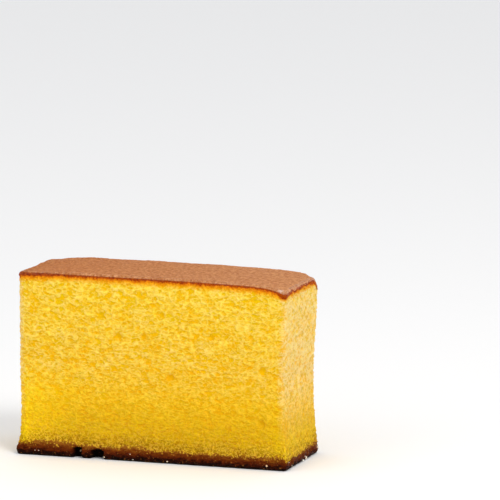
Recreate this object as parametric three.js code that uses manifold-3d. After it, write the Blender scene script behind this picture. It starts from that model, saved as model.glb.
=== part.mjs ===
// One upright slice of castella, the Japanese sponge cake baked in a tall wooden frame.
// The slice is a single piece of food: fine yellow crumb, cut on all four sides, that
// browns without a break into a thin skin on top and a thick, sugary crust underneath.
//
// Millimetres, +Z up. The origin is the middle of the flat underside, +X runs along the
// slice's length and -Y is the broad cut face that is served to the front.

import * as THREE from 'three';
import { ImprovedNoise } from 'three/addons/math/ImprovedNoise.js';
import { mergeVertices } from 'three/addons/utils/BufferGeometryUtils.js';
import Module from 'manifold-3d';

// ---- Driving dimensions -------------------------------------------------------------

const LENGTH = 90; // end to end, at the base
const THICKNESS = 33.5; // between the two broad cut faces, at the base
const HEIGHT = 59.2; // underside to the highest part of the top skin
const TOP_SKIN = 1.2; // browned skin, seen as a line along the cuts
const BASE_CRUST = 3.6; // dark crust soaked with melted sugar

const EDGE_RADIUS = 1.0; // the knife leaves the sponge's edges this soft
const SEGMENTS = [32, 12, 22]; // along X, Y and Z
const EDGE_CROWD = 0.8; // 0 spaces the grid evenly, 1 crowds it towards the edges

// How each cut face stands in from the rim of the base crust: the crumb steps in by
// flare within a few millimetres, and as it cools it draws in further at its waist.
const FLARE_REACH = 4;
const LEFT_END = { flare: 0.9, waist: { depth: 0.8, height: 17, spread: 9 } };
const RIGHT_END = { flare: 0.3, waist: { depth: 1.0, height: 25, spread: 13 } };
const BROAD_FACE = { flare: 0.3, waist: { depth: 0.4, height: 26, spread: 15 } };

// The top skin sags towards the cut edges, and further at the corners.
const RIGHT_SAGS = [
  { depth: 0.7, reach: 20 },
  { depth: 1.7, reach: 4.5 },
];
const LEFT_SAG = { depth: 0.8, reach: 7 };
const BACK_SAG = { depth: 0.4, reach: 5 };
const CORNER_SAGS = [
  { x: 1, y: -1, depth: 1.3, reach: 1.2 },
  { x: 1, y: 1, depth: 2.4, reach: 2.2 },
  { x: 1, y: 1, depth: 0.9, reach: 14 },
  { x: 1, y: 1, depth: 1.6, reach: 1.2 },
  { x: -1, y: 1, depth: 0.6, reach: 8 },
];
const SAG_FROM = 0.6 * HEIGHT; // the crumb above this height settles with the skin

const CRUMB_FROM = 0.7 * BASE_CRUST; // above this height the crust gives way to crumb
const SKIN_LIP = 0.3; // how far the skin stands proud of the crumb under it
const CRUMB_RELIEF = { height: 0.2, size: 4.5 }; // unevenness of the cut crumb
const CRUST_RELIEF = { height: 0.34, size: 2.2 }; // and of the base crust's torn rim
const SKIN_RELIEF = { height: 0.22, size: 16 }; // slow waves in the top skin

// Air holes that the knife opened. The large ones are where this slice has them.
const LARGE_HOLES = [
  { along: -16.5, up: 46.1, radius: 1.3 },
  { along: -10.9, up: 39.7, radius: 1.5 },
  { along: -2.3, up: 40.2, radius: 1.1 },
  { along: 6.5, up: 27.5, radius: 1.4 },
  { along: 37.6, up: 31.6, radius: 1.5 },
];
const SMALL_HOLES = { onFace: 17, onEnd: 5, least: 0.6, most: 1.15 };
const HOLE_SQUAT = 0.72; // holes are wider than they are tall
const HOLE_MARGIN = 5; // clear of the edges of a cut face

// Two bites of base crust that stayed on the baking paper, at the foot of the front.
const TORN_CRUST = [
  { along: -24.9, width: 2.4, height: 3.0, depth: 2.4 },
  { along: -17.8, width: 3.9, height: 3.4, depth: 3.2 },
];

const SUGAR = { count: 14, size: 1.0, flatness: 0.8, spread: 0.5 }; // coarse grains on the rim
const STRAY = 2; // how far a small hole may wander from its even place
const SEED = 7;
const SPONGE_YELLOW = 0xf3c23a;

const HALF = new THREE.Vector3(LENGTH, THICKNESS, HEIGHT).multiplyScalar(0.5);

// ---- Helpers ------------------------------------------------------------------------

const { smoothstep, lerp } = THREE.MathUtils;
const noise = new ImprovedNoise();
const NOISE_START = new THREE.Vector3(31.7, 11.3, 5.9); // a lively part of the noise field
const WELD = 1e-5; // corners closer than this are one corner
const LCG = { multiplier: 1664525, increment: 1013904223, modulus: 2 ** 32 }; // for randomFrom

/** Smooth unevenness of about the given height, with bumps of about the given size. */
function relief({ height, size }, p) {
  const at = p.clone().divideScalar(size).add(NOISE_START);
  return 2 * height * noise.noise(at.x, at.y, at.z);
}

/** A hump of the given depth at one height, fading above and below it. */
function hump({ depth, height, spread }, z) {
  return depth * Math.exp(-(((z - height) / spread) ** 2));
}

/** A sag that is deepest at distance 0 and dies away over its reach. */
function sag({ depth, reach }, distance) {
  return depth * Math.exp(-Math.max(distance, 0) / reach);
}

/** Repeatable random numbers from 0 to 1. */
function randomFrom(seed) {
  let state = seed;
  return () => {
    state = (state * LCG.multiplier + LCG.increment) % LCG.modulus;
    return state / LCG.modulus;
  };
}

/** Crowds a coordinate from -1 to 1 towards both ends, for finer grid near the edges. */
function crowd(t) {
  const turn = (EDGE_CROWD * Math.PI) / 2;
  return Math.sin(t * turn) / Math.sin(turn);
}

// ---- Form of the slice --------------------------------------------------------------

/** How far the top skin has sagged at a point of the slice's plan. */
function skinSag(x, y) {
  let fallen = sag(LEFT_SAG, HALF.x + x) + sag(BACK_SAG, HALF.y - y);
  for (const edge of RIGHT_SAGS) fallen += sag(edge, HALF.x - x);
  for (const corner of CORNER_SAGS) {
    fallen += sag(corner, Math.hypot(corner.x * HALF.x - x, corner.y * HALF.y - y));
  }
  return fallen;
}

/** How far a cut face stands in at a height. */
function standsIn({ flare, waist }, z) {
  return flare * (1 - Math.exp(-z / FLARE_REACH)) + hump(waist, z);
}

/** The plan at a height, as shares of the full half length and half thickness. */
function planScale(side, z) {
  const end = side > 0 ? RIGHT_END : LEFT_END;
  return { x: 1 - standsIn(end, z) / HALF.x, y: 1 - standsIn(BROAD_FACE, z) / HALF.y };
}

/** Moves a point of a cube from -1 to 1 to its place on the slice. */
function toSlice(point) {
  const block = new THREE.Vector3(crowd(point.x), crowd(point.y), crowd(point.z)).multiply(HALF);
  const core = HALF.clone().subScalar(EDGE_RADIUS);
  const inner = block.clone().clamp(core.clone().negate(), core);
  const outward = block.sub(inner).normalize();
  const p = inner.addScaledVector(outward, EDGE_RADIUS);
  p.z += HALF.z;

  const scale = planScale(p.x, p.z);
  p.x *= scale.x;
  p.y *= scale.y;

  const skin = smoothstep(p.z, HEIGHT - 2 * TOP_SKIN, HEIGHT - TOP_SKIN);
  p.z -= smoothstep(p.z, SAG_FROM, HEIGHT) * skinSag(p.x, p.y);
  p.z += Math.max(outward.z, 0) * relief(SKIN_RELIEF, p);

  const crumb = smoothstep(p.z, CRUMB_FROM, BASE_CRUST);
  const rough = lerp(relief(CRUST_RELIEF, p), relief(CRUMB_RELIEF, p), crumb);
  const offGround = smoothstep(p.z, 0, EDGE_RADIUS);
  const grow = (skin * SKIN_LIP + rough) * offGround;
  p.x += outward.x * grow;
  p.y += outward.y * grow;
  return p;
}

/** The slice before any holes: a finely divided cube, every point moved to its place. */
function sliceGeometry() {
  const geometry = bare(new THREE.BoxGeometry(2, 2, 2, ...SEGMENTS));
  const at = geometry.getAttribute('position');
  for (let i = 0; i < at.count; i += 1) {
    at.setXYZ(i, ...toSlice(new THREE.Vector3().fromBufferAttribute(at, i)));
  }
  return geometry;
}

/** A geometry with only its positions, and corners that are shared. */
function bare(geometry) {
  geometry.deleteAttribute('normal');
  geometry.deleteAttribute('uv');
  return mergeVertices(geometry, WELD);
}

// ---- Holes, torn crust and sugar ----------------------------------------------------

const random = randomFrom(SEED);
const GOLDEN = (Math.sqrt(5) - 1) / 2; // steps by this never line up in rows

/** A low-sided ball stretched to the given half sizes, turned at random. */
function ball(x, y, z, at) {
  const geometry = bare(new THREE.IcosahedronGeometry(1, 1));
  geometry.rotateX(random() * Math.PI);
  geometry.rotateZ(random() * Math.PI);
  geometry.scale(x, y, z);
  return geometry.translate(...at);
}

/** Evenly spread places on a face, each moved at random inside its own patch. */
function scatter(count, width, bottom, top) {
  return Array.from({ length: count }, (_, i) => ({
    along: (((i + 0.5) * GOLDEN) % 1) * width - width / 2 + (random() - 0.5) * STRAY,
    up: bottom + ((i + random()) / count) * (top - bottom),
    radius: SMALL_HOLES.least + random() ** 2 * (SMALL_HOLES.most - SMALL_HOLES.least),
  }));
}

/** Balls that open air holes in the four cut faces. */
function airHoles() {
  const faces = [
    { facing: -1, across: false, large: LARGE_HOLES },
    { facing: 1, across: false, large: [] },
    { facing: -1, across: true, large: [] },
    { facing: 1, across: true, large: [] },
  ];
  return faces.flatMap(({ facing, across, large }) => {
    const width = (across ? THICKNESS : LENGTH) - 2 * HOLE_MARGIN;
    const count = across ? SMALL_HOLES.onEnd : SMALL_HOLES.onFace;
    const small = scatter(count, width, BASE_CRUST + HOLE_MARGIN, HEIGHT - HOLE_MARGIN);
    return [...large, ...small].map(({ along, up, radius }) => {
      const scale = planScale(facing, up);
      const onEnd = [facing * HALF.x * scale.x, along, up];
      const onFace = [along, facing * HALF.y * scale.y, up];
      return ball(radius, radius, radius * HOLE_SQUAT, across ? onEnd : onFace);
    });
  });
}

/** Balls that bite the torn pieces out of the base crust. */
function tornCrust() {
  return TORN_CRUST.map(({ along, width, height, depth }) =>
    ball(width / 2, depth, height, [along, -HALF.y, 0]),
  );
}

/** A grain of coarse sugar, a crystal block lying at a random angle. */
function grain(at) {
  const size = SUGAR.size * (1 - SUGAR.spread * random());
  const geometry = bare(new THREE.BoxGeometry(size, size, size * SUGAR.flatness));
  geometry.rotateX(random() * Math.PI);
  geometry.rotateZ(random() * Math.PI);
  return geometry.translate(...at);
}

/** Grains spread round the rim of the base crust. */
function sugarGrains() {
  const round = 2 * (LENGTH + THICKNESS);
  return Array.from({ length: SUGAR.count }, (_, i) => {
    const way = ((i + random()) / SUGAR.count) * round;
    const up = SUGAR.size + random() * (BASE_CRUST - 2 * SUGAR.size);
    const side = way < LENGTH + THICKNESS ? 1 : -1;
    const step = way % (LENGTH + THICKNESS);
    const onFace = step < LENGTH;
    const x = onFace ? HALF.x - step : -HALF.x;
    const y = onFace ? -HALF.y : step - LENGTH - HALF.y;
    const scale = planScale(side * x, up);
    return grain([side * x * scale.x, side * y * scale.y, up]);
  });
}

// ---- Joining and cutting ------------------------------------------------------------

const wasm = await Module();
wasm.setup();

/** A closed geometry as a solid that can be joined and cut. */
function solid(geometry) {
  const vertProperties = geometry.getAttribute('position').array;
  const triVerts = new Uint32Array(geometry.index.array);
  return new wasm.Manifold(new wasm.Mesh({ numProp: 3, vertProperties, triVerts }));
}

/** A solid back as a geometry with flat-shaded faces. */
function geometryOf(made) {
  const { numProp, vertProperties, triVerts } = made.getMesh();
  const shared = new THREE.BufferGeometry();
  const corners = new THREE.InterleavedBuffer(vertProperties, numProp);
  shared.setAttribute('position', new THREE.InterleavedBufferAttribute(corners, 3, 0));
  shared.setIndex(new THREE.BufferAttribute(triVerts, 1));
  const geometry = shared.toNonIndexed();
  geometry.computeVertexNormals();
  return geometry;
}

let slice = solid(sliceGeometry());
for (const geometry of sugarGrains()) slice = slice.add(solid(geometry));
for (const geometry of [...airHoles(), ...tornCrust()]) slice = slice.subtract(solid(geometry));

const sponge = new THREE.MeshStandardMaterial({ color: SPONGE_YELLOW, roughness: 0.92, metalness: 0 });
const cake = new THREE.Mesh(geometryOf(slice), sponge);
cake.name = 'castella_slice';

const group = new THREE.Group();
group.add(cake);

export default group;
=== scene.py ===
"""The looks of one upright slice of castella sponge cake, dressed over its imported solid.

The slice is modelled as one closed mesh: a block is cut to size, divided finely, settled
and torn by hand with soft selections, and then roughened into crumb, skin and crust by one
relief modifier. Coarse sugar and loose crumbs lie on the crust. Metres, +Z up.
"""

import math
import random

import bmesh
import bpy
from mathutils import Matrix, Vector


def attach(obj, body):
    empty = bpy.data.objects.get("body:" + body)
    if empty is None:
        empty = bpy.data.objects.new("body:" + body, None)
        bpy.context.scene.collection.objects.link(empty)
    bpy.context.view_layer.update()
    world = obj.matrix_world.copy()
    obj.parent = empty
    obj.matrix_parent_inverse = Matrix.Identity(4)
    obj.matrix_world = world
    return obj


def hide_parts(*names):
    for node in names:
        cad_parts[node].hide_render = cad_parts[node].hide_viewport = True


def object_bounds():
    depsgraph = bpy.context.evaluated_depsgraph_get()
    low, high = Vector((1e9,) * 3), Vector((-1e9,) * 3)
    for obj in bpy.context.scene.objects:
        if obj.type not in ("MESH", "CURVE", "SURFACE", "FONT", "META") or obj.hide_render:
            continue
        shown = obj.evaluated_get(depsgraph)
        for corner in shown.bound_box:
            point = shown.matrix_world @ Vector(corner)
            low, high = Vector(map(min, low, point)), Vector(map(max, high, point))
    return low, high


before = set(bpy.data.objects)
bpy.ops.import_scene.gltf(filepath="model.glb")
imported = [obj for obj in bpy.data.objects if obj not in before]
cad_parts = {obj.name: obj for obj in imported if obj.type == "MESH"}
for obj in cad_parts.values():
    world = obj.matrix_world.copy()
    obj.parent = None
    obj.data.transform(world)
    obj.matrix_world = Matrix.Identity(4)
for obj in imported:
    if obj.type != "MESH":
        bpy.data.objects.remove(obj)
CAD_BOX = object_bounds()

MM = 0.001

# ---- Driving sizes, the same as the solid's -------------------------------------------

LENGTH = 90 * MM
THICKNESS = 33.5 * MM
HEIGHT = 59.2 * MM
EDGE_RADIUS = 1.0 * MM
HALF = Vector((LENGTH / 2, THICKNESS / 2, HEIGHT / 2))

# How each cut face stands in from the base crust's rim, and draws in at its waist.
FLARE_TOP = 9 * MM
LEFT_FLARE_TOP = 6 * MM
LEFT_FLARE, RIGHT_FLARE, BROAD_FLARE = 1.1 * MM, 0.3 * MM, 0.3 * MM
LEFT_WAIST = {"depth": 0.4 * MM, "height": 15 * MM, "reach": 13 * MM}
RIGHT_WAIST = {"depth": 1.0 * MM, "height": 25 * MM, "reach": 26 * MM}
BROAD_WAIST = {"depth": 0.4 * MM, "height": 26 * MM, "reach": 30 * MM}

# The top skin's sags, as (side x, side y, depth, reach, falloff), where side 0 is the whole edge
# and a depth below 0 lifts.
SAGS = (
    (1, 0, 0.7 * MM, 45 * MM, "SHARP"),
    (1, 0, 1.1 * MM, 13 * MM, "SHARP"),
    (-1, 0, 0.75 * MM, 14 * MM, "SMOOTH"),
    (-1, -1, -0.3 * MM, 12 * MM, "SMOOTH"),
    (0, 1, 0.4 * MM, 15 * MM, "SHARP"),
    (1, -1, 0.6 * MM, 6 * MM, "SHARP"),
    (1, 1, 1.2 * MM, 3.6 * MM, "SMOOTH"),
    (1, 1, 1.2 * MM, 1.5 * MM, "SMOOTH"),
    (-1, 1, 1.4 * MM, 4.2 * MM, "SMOOTH"),
)

# What a pull takes hold of: the grid's outer layers, or one of its rows.
EDGE_BAND = 1.05 * EDGE_RADIUS
END_LAYER, BROAD_LAYER, TOP_LAYER, HOLE_LAYER = 2 * MM, 1 * MM, 1 * MM, 3 * MM
HALF_ROW = 0.3 * MM

# The larger air holes in the front face, as (along, up, radius).
LARGE_HOLES = (
    (-16.5 * MM, 46.1 * MM, 1.3 * MM),
    (-10.9 * MM, 39.7 * MM, 1.5 * MM),
    (-2.3 * MM, 40.2 * MM, 1.1 * MM),
    (6.5 * MM, 27.5 * MM, 1.4 * MM),
    (37.6 * MM, 31.6 * MM, 1.5 * MM),
    (20.0 * MM, 41.3 * MM, 1.1 * MM),
    (3.6 * MM, 47.4 * MM, 1.1 * MM),
    (37.4 * MM, 14.4 * MM, 1.4 * MM),
)
HOLE_CORE, HOLE_DEPTH = 0.4, 0.45  # what is pressed in, and how far, for each radius

# Bites of base crust lost from the foot of the front, as (along, width, height, depth).
TORN_CRUST = (
    (-24.2 * MM, 2.2 * MM, 4.0 * MM, 2.6 * MM),
    (-17.8 * MM, 3.9 * MM, 3.4 * MM, 3.2 * MM),
)
BITE_HALF, BITE_TOP, BITE_REACH = 0.3, 0.7, 0.3  # what is pulled in, for each width and height

# The largest sugar crystals, as (side, along, up, size).
LARGE_CRYSTALS = (
    ("front", 5.7 * MM, 0.8 * MM, 0.5 * MM),
    ("front", 38.6 * MM, 1.5 * MM, 0.6 * MM),
    ("right", -10.7 * MM, 0.9 * MM, 0.6 * MM),
    ("right", 0.5 * MM, 0.6 * MM, 0.7 * MM),
    ("right", 4.1 * MM, 0.7 * MM, 1.1 * MM),
    ("right", 15.2 * MM, 2.1 * MM, 0.8 * MM),
    ("left", 14.0 * MM, 1.1 * MM, 0.8 * MM),
)

# What lies round the foot by chance, as (count, lowest, highest, smallest, largest).
SMALL_CRYSTALS = (16, 0.5 * MM, 2.8 * MM, 0.3 * MM, 0.6 * MM)
CRUST_CRUMBS = (60, 1.0 * MM, 3.4 * MM, 0.4 * MM, 1.0 * MM)
BORDER_CRUMBS = (160, 3.0 * MM, 4.4 * MM, 0.4 * MM, 1.0 * MM)
CORNER_ROOM = 1.5 * MM  # what they keep clear of the upright corners

SEED = 7
chance = random.Random(SEED)

# ---- View -----------------------------------------------------------------------------

VIEW_AZIMUTH = math.radians(18.15)
VIEW_ELEVATION = math.radians(9.38)
VIEW_ROLL = math.radians(0.14)
VIEW_DISTANCE = 2.5
VIEW_CENTRE = Vector((-98.5, 384.2, 0)) * MM  # the floor point in the middle of the frame
LENS = 479.0
SENSOR = 36.0


# ---- Helpers --------------------------------------------------------------------------


def srgb(code):
    """A hex colour as linear light, with full alpha."""
    parts = [int(code[i : i + 2], 16) / 255 for i in (1, 3, 5)]
    return tuple(c / 12.92 if c <= 0.04045 else ((c + 0.055) / 1.055) ** 2.4 for c in parts) + (1.0,)


def add(tree, kind, inputs=None, out=0, stops=(), **settings):
    """Adds a node with its settings, links, values and colour stops, and gives one output."""
    node = tree.nodes.new(kind)
    for i, (at, code) in enumerate(stops):
        stop = node.color_ramp.elements[i] if i < 2 else node.color_ramp.elements.new(at)
        stop.position, stop.color = at, srgb(code)
    for name, value in settings.items():
        setattr(node, name, value)
    for name, value in (inputs or {}).items():
        if isinstance(value, bpy.types.NodeSocket):
            tree.links.new(value, node.inputs[name])
        else:
            node.inputs[name].default_value = value
    return node.outputs[out]


def select_verts(cake, chosen):
    """Selects the vertices, in edit mode, whose places in the straight block pass the test."""
    work = bmesh.from_edit_mesh(cake.data)
    block = work.verts.layers.float_vector["block"]
    for vert in work.verts:
        vert.select_set(chosen(vert[block]))
    bmesh.update_edit_mesh(cake.data)


def select_edges_along(cake, axis):
    """Selects the long edges, in edit mode, that run along an axis."""
    work = bmesh.from_edit_mesh(cake.data)
    for edge in work.edges:
        way = edge.verts[1].co - edge.verts[0].co
        edge.select_set(abs(way[axis]) > 0.999 * way.length and way.length > EDGE_RADIUS)
    bmesh.update_edit_mesh(cake.data)


def pull(way, reach, falloff="SMOOTH"):
    """Moves the selected vertices, with what lies within reach following softly."""
    bpy.ops.transform.translate(
        value=way,
        use_proportional_edit=True,
        proportional_edit_falloff=falloff,
        proportional_size=reach,
    )


def apply_modifiers(piece):
    bpy.context.view_layer.objects.active = piece
    for modifier in list(piece.modifiers):
        bpy.ops.object.modifier_apply(modifier=modifier.name)


# ---- The block ------------------------------------------------------------------------

CUTS = {0: (13, 14), 1: (6, 8), 2: (11, 11)}  # two rounds of even division along each axis


def cut_block():
    """The block as the knife leaves it: straight sides, soft edges, a fine even grid."""
    bpy.ops.object.select_all(action="DESELECT")
    bpy.ops.mesh.primitive_cube_add(size=1, location=(0, 0, HALF.z), scale=(LENGTH, THICKNESS, HEIGHT))
    bpy.ops.object.transform_apply(location=True, rotation=True, scale=True)
    cake = bpy.context.object
    cake.name = cake.data.name = "castella_crumb"
    bpy.ops.object.mode_set(mode="EDIT")
    bpy.ops.mesh.select_all(action="SELECT")
    bpy.ops.mesh.bevel(offset=EDGE_RADIUS, segments=3, affect="EDGES")
    bpy.ops.mesh.select_mode(type="EDGE")
    for axis, rounds in CUTS.items():
        for cuts in rounds:
            select_edges_along(cake, axis)
            bpy.ops.mesh.subdivide(number_cuts=cuts)
    bpy.ops.object.mode_set(mode="OBJECT")
    return cake


def unfold(cake):
    """Lays the six sides flat in one map while they are still plain."""
    bpy.ops.object.mode_set(mode="EDIT")
    bpy.ops.mesh.select_all(action="SELECT")
    cake.data.uv_layers.new(name="OFBake")
    bpy.ops.uv.smart_project(angle_limit=math.radians(60), island_margin=0.004)
    bpy.ops.object.mode_set(mode="OBJECT")


def mark_block(cake):
    """Keeps each point's place in the straight block, which the finishes go by."""
    mark = cake.data.attributes.new("block", "FLOAT_VECTOR", "POINT")
    places = [0.0] * (3 * len(cake.data.vertices))
    cake.data.vertices.foreach_get("co", places)
    mark.data.foreach_set("vector", places)


def simplify_underside(cake):
    """The flat underside needs no grid: its inner faces become one."""
    bpy.ops.object.mode_set(mode="EDIT")
    bpy.ops.mesh.select_mode(type="FACE")
    bpy.ops.mesh.select_all(action="DESELECT")
    work = bmesh.from_edit_mesh(cake.data)
    for face in work.faces:
        face.select_set(face.normal.z < -0.99)
    bmesh.update_edit_mesh(cake.data)
    bpy.ops.mesh.dissolve_faces()
    bpy.ops.mesh.select_mode(type="VERT")
    bpy.ops.object.mode_set(mode="OBJECT")


# ---- Settling, by hand ----------------------------------------------------------------


def settle(cake):
    """Pulls the straight block into the form that the cooled, cut sponge has."""
    near_x = HALF.x - EDGE_BAND
    near_y = HALF.y - EDGE_BAND
    bpy.ops.object.mode_set(mode="EDIT")
    bpy.ops.mesh.select_mode(type="VERT")

    for side, flare, top in ((-1, LEFT_FLARE, LEFT_FLARE_TOP), (1, RIGHT_FLARE, FLARE_TOP)):
        select_verts(cake, lambda p: side * p.x > near_x and p.z > top)
        pull((-side * flare, 0, 0), top, "SHARP")
    for side in (-1, 1):
        select_verts(cake, lambda p: side * p.y > near_y and p.z > FLARE_TOP)
        pull((0, -side * BROAD_FLARE, 0), FLARE_TOP, "SHARP")

    for side, waist in ((-1, LEFT_WAIST), (1, RIGHT_WAIST)):
        at = waist["height"]
        select_verts(cake, lambda p: side * p.x > HALF.x - END_LAYER and abs(p.z - at) < HALF_ROW)
        pull((-side * waist["depth"], 0, 0), waist["reach"])
    at = BROAD_WAIST["height"]
    for side in (-1, 1):
        select_verts(cake, lambda p: side * p.y > HALF.y - BROAD_LAYER and abs(p.z - at) < HALF_ROW)
        pull((0, -side * BROAD_WAIST["depth"], 0), BROAD_WAIST["reach"])

    for side_x, side_y, depth, reach, falloff in SAGS:
        select_verts(
            cake,
            lambda p: p.z > HEIGHT - EDGE_BAND - TOP_LAYER
            and (not side_x or side_x * p.x > near_x)
            and (not side_y or side_y * p.y > near_y),
        )
        pull((0, 0, -depth), reach, falloff)
    bpy.ops.object.mode_set(mode="OBJECT")


def press_holes(cake):
    """Opens the larger air holes and tears the bites out of the base crust."""
    front = -HALF.y + HOLE_LAYER
    bpy.ops.object.mode_set(mode="EDIT")
    for along, up, radius in LARGE_HOLES:
        centre = Vector((along, 0, up))
        core = HOLE_CORE * radius
        select_verts(cake, lambda p: p.y < front and (Vector((p.x, 0, p.z)) - centre).length < core)
        pull((0, HOLE_DEPTH * radius, 0), radius)
    for along, width, height, depth in TORN_CRUST:
        reach = BITE_HALF * width
        top = BITE_TOP * height
        select_verts(cake, lambda p: p.y < front and abs(p.x - along) < reach and p.z < top)
        pull((0, depth, 0), BITE_REACH * height, "SPHERE")
    bpy.ops.object.mode_set(mode="OBJECT")


# ---- Crumb, skin and crust, as patterns -----------------------------------------------

# The same patterns shape the surface and colour it, all in millimetres of the straight block.
TOP, END, BROAD = HEIGHT / MM, HALF.x / MM, HALF.y / MM  # where the block's faces lie
END_STARTS, END_FULL = 0.9, 0.1  # how far in from an end its own look starts, and is full

CELLS = 2.4  # how far apart the air cells lie
HOLES = 2.4  # and the round holes where the knife went through a wide one
PATCHES = 3.0  # loose and dense patches of crumb
FLECKS = 1.1  # small uneven openings between the cells
FOLDS = 3.0  # long walls that wind through the crumb
BENDS = 5 / 3  # how large the bends are that lead all these out of line
BEND_REACH = (2.4, 2.4, 1.4)  # and how far they lead
FACE_SHAPE = (1.0, 0.8, 2.3)  # how close they lie along, through and up the slice
END_CHANGE = (0.0, 0.1, -0.5)  # and what the two ends change of that, where they are rounder
FOOT_FINER = 1.25  # how much closer they lie at the foot than at the top
ROUNDER = 0.62  # how much of their flatness the round holes keep

WALL_WIDTH, FOLD_WIDTH = 0.22, 0.06  # how far walls and folds fade into the cells
WALLS, FOLDED = -0.8, -0.5  # how much walls and folds close the crumb
PATCHY, FLECKED = 2.3, 2.4  # how much patches and flecks open and close it
CLOSED, OPEN = -1.2, 0.15  # the sums of these at which it is quite closed, and quite open
HOLLOW_CORE = 0.6  # the part of a larger hole's radius that is quite open

# Where skin and crust end, each from quite gone to quite itself, by their ragged lines.
SKIN_FORM, SKIN_COLOUR = (1.3, 0.9), (1.35, 1.1)
CRUST_FORM, CRUST_COLOUR = (4.3, 3.5), (4.0, 3.7)
RAGS = 20 / 9  # how large the rags of these lines are

# Where the skin hangs over the right corners, as (place, drop, reach), and where a highlight is painted on
# its corner.
FLAPS = (
    ((44.0, -16.6, 57.6), 1.5, 2.2),
    ((45.0, 16.6, 57.2), 1.6, 2.4),
)
GLINT_CORNER = (43.6, -15.9, 59.2)

CELL_DEPTH = 0.36  # from the tops of the walls down into the cells
LIP = 0.05  # how far the skin stands proud of the cut
CRAG_RISE, CRAG_CEILING = 0.12, 0.35  # how far the crust stands out, and how far at most


def swell(tree, space, size, detail, roughness, strength):
    """Soft unevenness of about a size, as much above 0 as below it."""
    noise = add(
        tree,
        "ShaderNodeTexNoise",
        {"Vector": space, "Scale": 1 / size, "Detail": detail, "Roughness": roughness},
    )
    noise = add(tree, "ShaderNodeMath", {0: noise, 1: 0.5}, operation="SUBTRACT")
    return add(tree, "ShaderNodeMath", {0: noise, 1: strength}, operation="MULTIPLY")


def ridges(tree, space, size, detail, width):
    """1 along thin winding lines, 0 between them."""
    line = swell(tree, space, size=size, detail=detail, roughness=0.5, strength=1.0)
    line = add(tree, "ShaderNodeMath", {0: line}, operation="ABSOLUTE")
    return add(
        tree,
        "ShaderNodeMapRange",
        {"Value": line, "From Min": width[0], "From Max": width[1], "To Min": 1.0, "To Max": 0.0},
        interpolation_type="SMOOTHSTEP",
    )


def fibres(tree, place):
    """1 along thin threads of crumb, 0 between them."""
    return ridges(tree, place, size=1.3, detail=2.0, width=(0.01, 0.07))


def along_ends(tree, place):
    """Draws patterns out from front to back, as the skin's lumps are along the two ends."""
    return add(tree, "ShaderNodeVectorMath", {0: place, 1: (1.0, 0.35, 1.0)}, operation="MULTIPLY")


def at_ends(tree, place):
    """1 on the two ends, and 0 on the broad faces."""
    apart = add(tree, "ShaderNodeSeparateXYZ", {0: place})
    apart = add(tree, "ShaderNodeMath", {0: apart}, operation="ABSOLUTE")
    return add(
        tree,
        "ShaderNodeMapRange",
        {"Value": apart, "From Min": END - END_STARTS, "From Max": END - END_FULL},
    )


def crumb_space(tree, place):
    """Bends places out of line, and flattens them like the settled crumb, more so low down."""
    end = add(tree, "ShaderNodeMath", {0: at_ends(tree, place), 1: 0.5}, operation="GREATER_THAN")
    shape = add(tree, "ShaderNodeVectorMath", {0: END_CHANGE, "Scale": end}, operation="SCALE")
    shape = add(tree, "ShaderNodeVectorMath", {0: shape, 1: FACE_SHAPE}, operation="ADD")
    bend = add(
        tree,
        "ShaderNodeTexNoise",
        {"Vector": place, "Scale": 1 / BENDS, "Detail": 3.0, "Roughness": 0.6},
        out=1,
    )
    bent = add(tree, "ShaderNodeVectorMath", {0: bend, 1: BEND_REACH, 2: place}, operation="MULTIPLY_ADD")
    space = add(tree, "ShaderNodeVectorMath", {0: bent, 1: shape}, operation="MULTIPLY")
    height = add(tree, "ShaderNodeSeparateXYZ", {0: place}, out=2)
    finer = add(
        tree,
        "ShaderNodeMapRange",
        {"Value": height, "From Max": TOP, "To Min": FOOT_FINER, "To Max": 1.0},
    )
    return add(tree, "ShaderNodeVectorMath", {0: space, "Scale": finer}, operation="SCALE")


def round_holes(tree, space):
    """1 well inside the round holes, which about half of the places have, and 0 outside."""
    rounder = add(tree, "ShaderNodeVectorMath", {0: space, 1: (1.0, 1.0, ROUNDER)}, operation="MULTIPLY")
    away = add(tree, "ShaderNodeTexVoronoi", {"Vector": rounder, "Scale": 1 / HOLES})
    cell = add(tree, "ShaderNodeTexVoronoi", {"Vector": rounder, "Scale": 1 / HOLES}, out="Color")
    luck = add(tree, "ShaderNodeSeparateXYZ", {0: cell})
    radius = add(tree, "ShaderNodeMapRange", {"Value": luck, "From Min": 0.4, "To Max": 0.5})
    inside = add(tree, "ShaderNodeMath", {0: radius, 1: away}, operation="SUBTRACT")
    return add(
        tree, "ShaderNodeMapRange", {"Value": inside, "From Max": 0.15}, interpolation_type="SMOOTHSTEP"
    )


def hollows(tree, place, space):
    """1 inside the larger air holes of the front face, with uneven rims, and 0 elsewhere."""
    uneven = swell(tree, space, size=1.6, detail=2.0, roughness=0.6, strength=2.2)
    hollow = 0.0
    for along, up, radius in LARGE_HOLES:
        centre = (along / MM, -BROAD, up / MM)
        rim = radius / MM
        away = add(tree, "ShaderNodeVectorMath", {0: place, 1: centre}, operation="DISTANCE", out="Value")
        away = add(tree, "ShaderNodeMath", {0: away, 1: uneven}, operation="ADD")
        inside = add(
            tree,
            "ShaderNodeMapRange",
            {"Value": away, "From Min": HOLLOW_CORE * rim, "From Max": rim, "To Min": 1.0, "To Max": 0.0},
        )
        hollow = add(tree, "ShaderNodeMath", {0: inside, 1: hollow}, operation="MAXIMUM")
    return hollow


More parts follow.
